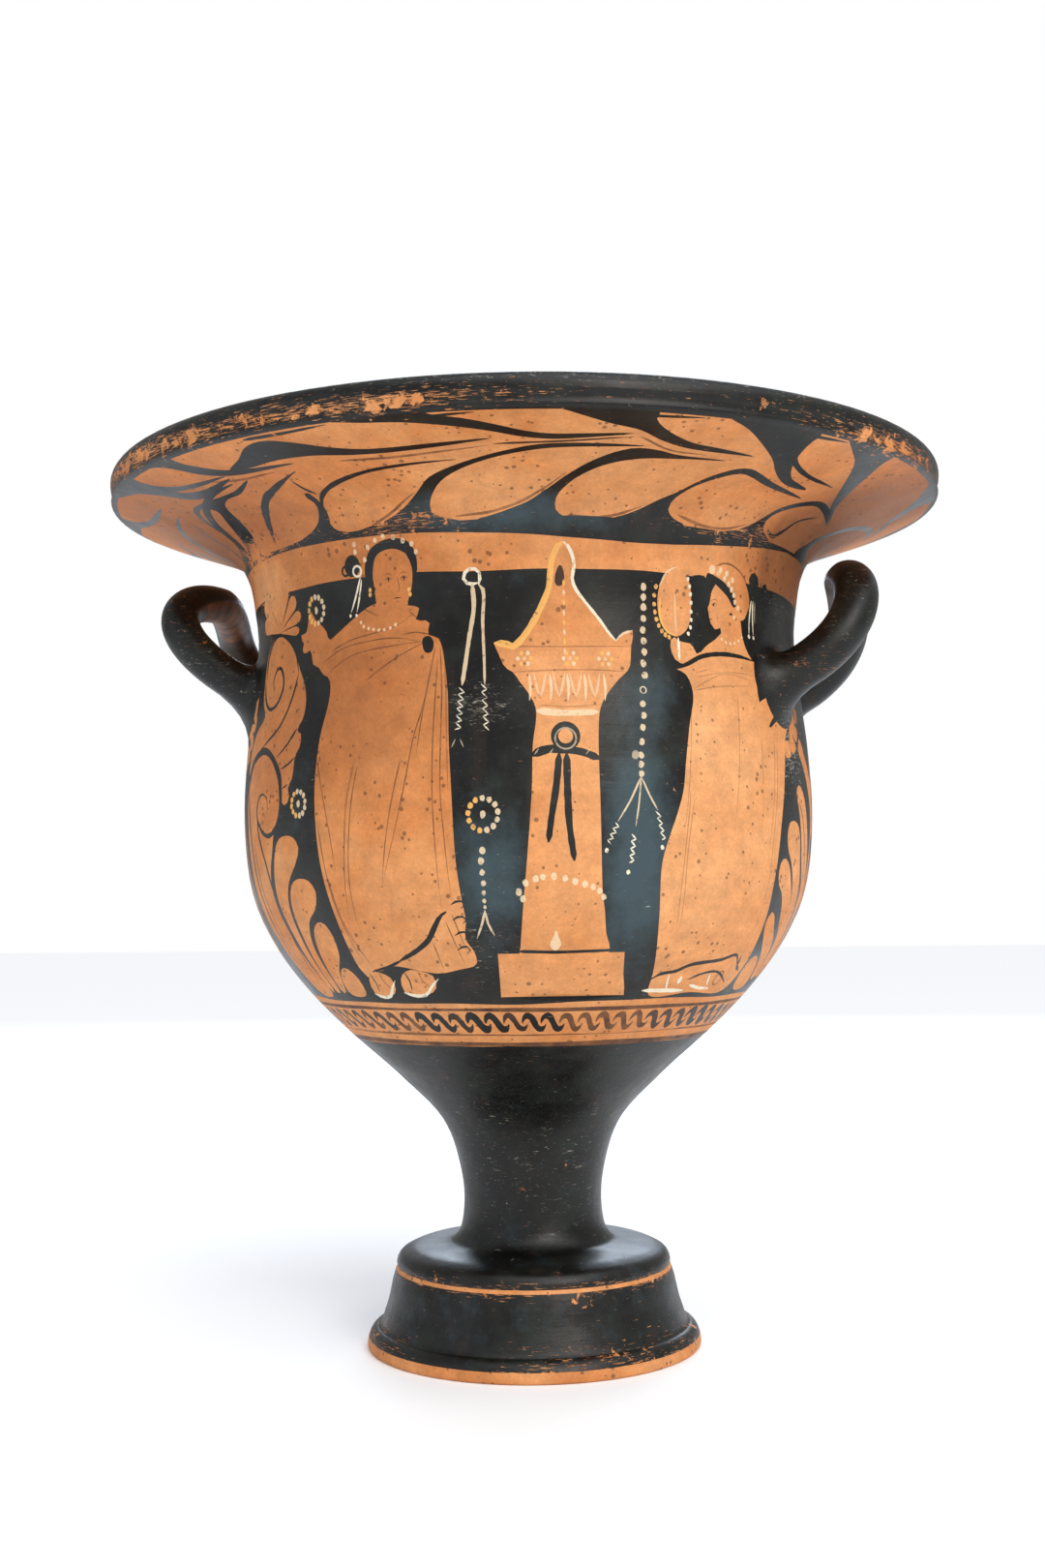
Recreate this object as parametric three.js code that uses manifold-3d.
// Bell krater: a wine-mixing bowl with a flaring rim on a tall stem, two
// upturned loop handles, and a moulded foot with a hollow underside.
// Millimetres, +Z up. The origin is the middle of the resting ring, and the
// handles lie along +X and -X.
import * as THREE from 'three';
import { mergeVertices } from 'three/addons/utils/BufferGeometryUtils.js';
import Module from 'manifold-3d';

// ---- driving dimensions -------------------------------------------------

const HEIGHT = 347;
const AROUND = 56;

// Foot: a low plate with a sloping side, standing on a round bottom moulding.
const FOOT_R = 66.8;
const FOOT_MOULDING_H = 8.4;
const FOOT_WAIST_R = 61.8;
const PLATE_R = 55.0;
const PLATE_EDGE_Z = 33.0;
const PLATE_TOP_Z = 38.6;
const GROOVE_DEPTH = 0.7;
const GROOVE_Z = 31.4;
const GROOVE_H = 3.0;

// Stem and bowl: outside radius at each height, from the plate to the neck.
const STEM_JOINT = [31.9, 41.8];
const STEM_AND_BOWL = [
  STEM_JOINT,
  [29.5, 45.0],
  [27.7, 56.0],
  [29.2, 70.4],
  [35.7, 88.7],
  [53.0, 107.1],
  [73.5, 125.5],
  [91.2, 143.9],
  [104.1, 162.2],
  [111.8, 180.6],
  [115.0, 207.0],
  [114.2, 232.0],
  [110.9, 262.0],
  [109.3, 282.0],
  [111.4, 300.0],
];

// Mouth: the neck turns out into a broad flare that ends in a rim moulding.
const NECK_TOP = [113.0, 306.6];
const CREASE = [118.0, 315.6];
const FLARE_MID = [132.0, 322.9];
const FLARE_END = [164.8, 334.4];
const RIM_R = 167.8;
const RIM_EDGE = [167.3, 335.4];
const RIM_HOLLOW = [166.7, 337.8];
const RIM_RIDGE = [167.5, 340.2];
const RIM_INNER = [158.6, 344.6];

// Walls: thickness of the clay, and the heights of the two hollows.
const WALL_FLARE = 7.0;
const WALL_BELLY = 6.6;
const WALL_LOW = 9.0;
const FLOOR_Z = 101.0;
const CAVITY_START_Z = 118.0;
const RECESS_TOP_Z = 84.0;
const REST_INNER_R = 55.5;
const RECESS = [
  [51.0, 4.5],
  [43.0, 15.0],
  [27.0, 30.0],
  [17.6, 44.0],
  [16.6, 64.0],
  [11.5, 79.0],
];

// Handles: round loops that leave the shoulder, rise outwards and curve back.
const HANDLE_AROUND = 14;
const HANDLE_STEPS = 8;
const FILLET_STEPS = 3;
const FILLET = 7.5;
const FILLET_UNDER = 0.9;
const HANDLES = [
  {
    side: 1, halfSpread: 46.5, rootX: 100.0, rootZ: 257.5, topX: 130.4, topZ: 303.4,
    rise: 0.40, splay: -0.06, reach: 42.0, width: 48.0, lean: 4.2, tuck: 5.0, r: 8.5,
  },
  {
    side: -1, halfSpread: 38.0, rootX: 99.0, rootZ: 257.3, topX: 130.2, topZ: 302.6,
    rise: 0.49, splay: 0.14, reach: 56.0, width: 48.5, lean: 4.3, tuck: 1.5, r: 7.7,
  },
];

// ---- profile ------------------------------------------------------------

function curve(stations, count) {
  const points = stations.map(([r, z]) => new THREE.Vector3(r, z, 0));
  const path = new THREE.CatmullRomCurve3(points, false, 'centripetal');
  return path.getSpacedPoints(count).map((p) => new THREE.Vector2(p.x, p.y));
}

function footOutline() {
  const moulding = [];
  for (let i = 0; i <= 5; i += 1) {
    const a = (i / 5) * (Math.PI / 2);
    const r = FOOT_WAIST_R + (FOOT_R - FOOT_WAIST_R) * Math.cos(a) ** 0.9;
    moulding.push(new THREE.Vector2(r, 1.0 + (FOOT_MOULDING_H - 1.0) * Math.sin(a)));
  }
  const grooveR = PLATE_R + 0.5;
  return [
    new THREE.Vector2(REST_INNER_R, 0),
    new THREE.Vector2(FOOT_R - 1.1, 0),
    ...moulding,
    new THREE.Vector2(60.2, 12.6),
    new THREE.Vector2(58.4, 18.0),
    new THREE.Vector2(56.6, GROOVE_Z - GROOVE_H / 2 - 3.6),
    new THREE.Vector2(grooveR, GROOVE_Z - GROOVE_H / 2),
    new THREE.Vector2(grooveR - GROOVE_DEPTH, GROOVE_Z),
    new THREE.Vector2(PLATE_R, PLATE_EDGE_Z),
    new THREE.Vector2(PLATE_R - 0.9, PLATE_EDGE_Z + 2.6),
    new THREE.Vector2(PLATE_R - 3.6, PLATE_TOP_Z - 0.9),
    new THREE.Vector2(PLATE_R - 8.0, PLATE_TOP_Z + 0.8),
  ];
}

function rimOutline() {
  const [ex, ez] = RIM_RIDGE;
  const [ix, iz] = RIM_INNER;
  const torus = new THREE.CubicBezierCurve(
    new THREE.Vector2(ex, ez),
    new THREE.Vector2(RIM_R + 0.7, ez + 4.2),
    new THREE.Vector2(ix + 7.2, HEIGHT + 0.6),
    new THREE.Vector2(ix + 3.2, HEIGHT),
  );
  return [
    new THREE.Vector2(...RIM_EDGE),
    new THREE.Vector2(...RIM_HOLLOW),
    ...torus.getPoints(5),
    new THREE.Vector2(ix, iz),
  ];
}

const bowlOutline = curve(STEM_AND_BOWL, 17);
const flareOutline = curve([STEM_AND_BOWL.at(-1), NECK_TOP, CREASE, FLARE_MID, FLARE_END], 8).slice(1);

// Clay thickness at a height, thinner in the belly and thicker near the stem.
function wallAt(z) {
  const low = THREE.MathUtils.smoothstep(z, CAVITY_START_Z, 175);
  const high = THREE.MathUtils.smoothstep(z, 285, 325);
  const belly = THREE.MathUtils.lerp(WALL_LOW, WALL_BELLY, low);
  return THREE.MathUtils.lerp(belly, WALL_FLARE, high);
}

// The inside follows the outside, one clay thickness in from it.
function innerOutline() {
  const stations = [...STEM_AND_BOWL, NECK_TOP, CREASE, FLARE_MID, FLARE_END];
  const outside = curve(stations, 20).filter((p) => p.y > CAVITY_START_Z - 12);
  const inside = [];
  for (let i = 1; i < outside.length - 1; i += 1) {
    const along = new THREE.Vector2().subVectors(outside[i + 1], outside[i - 1]).normalize();
    const t = wallAt(outside[i].y);
    inside.push(new THREE.Vector2(outside[i].x - along.y * t, outside[i].y + along.x * t));
  }
  const start = inside[0];
  const next = inside[1];
  const slope = (next.y - start.y) / (next.x - start.x);
  const floor = new THREE.CubicBezierCurve(
    new THREE.Vector2(0, FLOOR_Z),
    new THREE.Vector2(start.x * 0.42, FLOOR_Z),
    new THREE.Vector2(start.x * 0.78, start.y - start.x * 0.22 * slope),
    start.clone(),
  );
  return [...floor.getPoints(4), ...inside.slice(1)].reverse();
}

function kraterProfile() {
  const recess = [
    new THREE.Vector2(0, RECESS_TOP_Z),
    ...RECESS.map(([r, z]) => new THREE.Vector2(r, z)).reverse(),
  ];
  return [
    ...recess,
    ...footOutline(),
    ...bowlOutline,
    ...flareOutline,
    ...rimOutline(),
    ...innerOutline(),
  ];
}

// Outside radius of the bowl at a height.
function wallRadius(z) {
  const i = bowlOutline.findIndex((p) => p.y > z);
  const a = bowlOutline[i - 1];
  const b = bowlOutline[i];
  return a.x + ((b.x - a.x) * (z - a.y)) / (b.y - a.y);
}

// ---- handles ------------------------------------------------------------

// Half of one loop, from inside the wall to the top of its arch.
function halfLoop(h) {
  const cosRise = Math.cos(h.rise);
  const out = new THREE.Vector3(
    cosRise * Math.cos(h.splay),
    cosRise * Math.sin(h.splay),
    Math.sin(h.rise),
  );
  const root = new THREE.Vector3(h.rootX, h.halfSpread, h.rootZ);
  const top = new THREE.Vector3(h.topX, 0, h.topZ);
  return new THREE.CubicBezierCurve3(
    root,
    root.clone().addScaledVector(out, h.reach),
    top.clone().add(new THREE.Vector3(h.lean, h.width, -h.tuck)),
    top,
  );
}

// A point on the skin of the round loop. Angle 0 faces away from the bowl.
function skinPoint(h, path, t, angle) {
  const middle = path.getPoint(t);
  const tangent = path.getTangent(t);
  const heart = new THREE.Vector3(108, 0, h.rootZ + 12);
  const away = middle.clone().sub(heart);
  away.addScaledVector(tangent, -away.dot(tangent)).normalize();
  const across = new THREE.Vector3().crossVectors(tangent, away);
  return middle
    .addScaledVector(away, h.r * Math.cos(angle))
    .addScaledVector(across, h.r * Math.sin(angle));
}

function outsideWall(p) {
  return Math.hypot(p.x, p.y) - wallRadius(p.z);
}

// Where the skin line at one angle leaves the wall.
function leavesWallAt(h, path, angle) {
  let low = 0;
  let high = 0.6;
  for (let i = 0; i < 24; i += 1) {
    const mid = (low + high) / 2;
    if (outsideWall(skinPoint(h, path, mid, angle)) > 0) {
      high = mid;
    } else {
      low = mid;
    }
  }
  return high;
}

// Push a wall point away from the root's centre, along the wall.
function spreadOnWall(p, centre, distance, depth) {
  const r = Math.hypot(p.x, p.y);
  const turn = Math.atan2(p.y, p.x);
  const du = (turn - Math.atan2(centre.y, centre.x)) * r;
  const dz = p.z - centre.z;
  const k = 1 + distance / Math.hypot(du, dz);
  const z = centre.z + dz * k;
  const a = Math.atan2(centre.y, centre.x) + (du * k) / r;
  const rr = wallRadius(z) - depth;
  return new THREE.Vector3(rr * Math.cos(a), rr * Math.sin(a), z);
}

function halfRings(h) {
  const path = halfLoop(h);
  const length = path.getLength();
  const lines = [];
  let centreT = 0;
  while (outsideWall(path.getPoint(centreT)) < 0) {
    centreT += 0.002;
  }
  const centre = path.getPoint(centreT);
  for (let i = 0; i < HANDLE_AROUND; i += 1) {
    const angle = (i / HANDLE_AROUND) * Math.PI * 2;
    const t0 = leavesWallAt(h, path, angle);
    const spread = FILLET * (1 + FILLET_UNDER * Math.max(0, -Math.sin(angle)));
    const t1 = t0 + spread / length;
    const corner = skinPoint(h, path, t0, angle);
    const onWall = spreadOnWall(corner, centre, spread, 0.8);
    const onLoop = skinPoint(h, path, t1, angle);
    const inWall = spreadOnWall(corner, centre, -2.5, 3.8);
    const fillet = new THREE.QuadraticBezierCurve3(onWall, corner, onLoop);
    const line = [inWall, ...fillet.getPoints(FILLET_STEPS)];
    for (let k = 1; k <= HANDLE_STEPS; k += 1) {
      line.push(skinPoint(h, path, t1 + ((1 - t1) * k) / HANDLE_STEPS, angle));
    }
    lines.push(line);
  }
  return lines;
}

function handleGeometry(h) {
  const lines = halfRings(h);
  const half = lines[0].length;
  const rings = 2 * half - 1;
  const positions = [];
  for (let k = 0; k < rings; k += 1) {
    const mirrored = k >= half;
    const row = mirrored ? rings - 1 - k : k;
    for (const line of lines) {
      const p = line[row];
      positions.push(p.x * h.side, (mirrored ? -p.y : p.y) * h.side, p.z);
    }
  }
  const faces = [];
  const n = HANDLE_AROUND;
  for (let k = 0; k < rings - 1; k += 1) {
    for (let i = 0; i < n; i += 1) {
      const a = k * n + i;
      const b = k * n + ((i + 1) % n);
      faces.push(a, b, a + n, b, b + n, a + n);
    }
  }
  for (const [ring, flip] of [[0, true], [rings - 1, false]]) {
    const c = positions.length / 3;
    const sum = [0, 0, 0];
    for (let i = 0; i < n; i += 1) {
      for (let j = 0; j < 3; j += 1) {
        sum[j] += positions[(ring * n + i) * 3 + j] / n;
      }
    }
    positions.push(...sum);
    for (let i = 0; i < n; i += 1) {
      const a = ring * n + i;
      const b = ring * n + ((i + 1) % n);
      faces.push(...(flip ? [b, a, c] : [a, b, c]));
    }
  }
  const geometry = new THREE.BufferGeometry();
  geometry.setAttribute('position', new THREE.Float32BufferAttribute(positions, 3));
  geometry.setIndex(faces);
  return geometry;
}

// ---- solids -------------------------------------------------------------

const wasm = await Module();
wasm.setup();

function toSolid(geometry) {
  geometry.deleteAttribute('normal');
  geometry.deleteAttribute('uv');
  const merged = mergeVertices(geometry, 1e-4);
  return new wasm.Manifold(new wasm.Mesh({
    numProp: 3,
    vertProperties: new Float32Array(merged.attributes.position.array),
    triVerts: new Uint32Array(merged.index.array),
  }));
}

function toGeometry(solid) {
  const mesh = solid.getMesh();
  const geometry = new THREE.BufferGeometry();
  geometry.setAttribute('position', new THREE.Float32BufferAttribute(mesh.vertProperties, 3));
  geometry.setIndex(new THREE.Uint32BufferAttribute(mesh.triVerts, 1));
  geometry.computeVertexNormals();
  return geometry;
}

// The lathe turns about Y, so the turned body is stood up along Z.
const turned = new THREE.LatheGeometry(kraterProfile(), AROUND);
turned.rotateX(Math.PI / 2);

let solid = toSolid(turned);
for (const handle of HANDLES) {
  solid = solid.add(toSolid(handleGeometry(handle)));
}

const glossed = new THREE.MeshStandardMaterial({
  name: 'red_figure_ware',
  color: 0xa86f45,
  roughness: 0.5,
  metalness: 0,
});
const krater = new THREE.Mesh(toGeometry(solid), glossed);
krater.name = 'krater';

const group = new THREE.Group();
group.add(krater);

export default group;
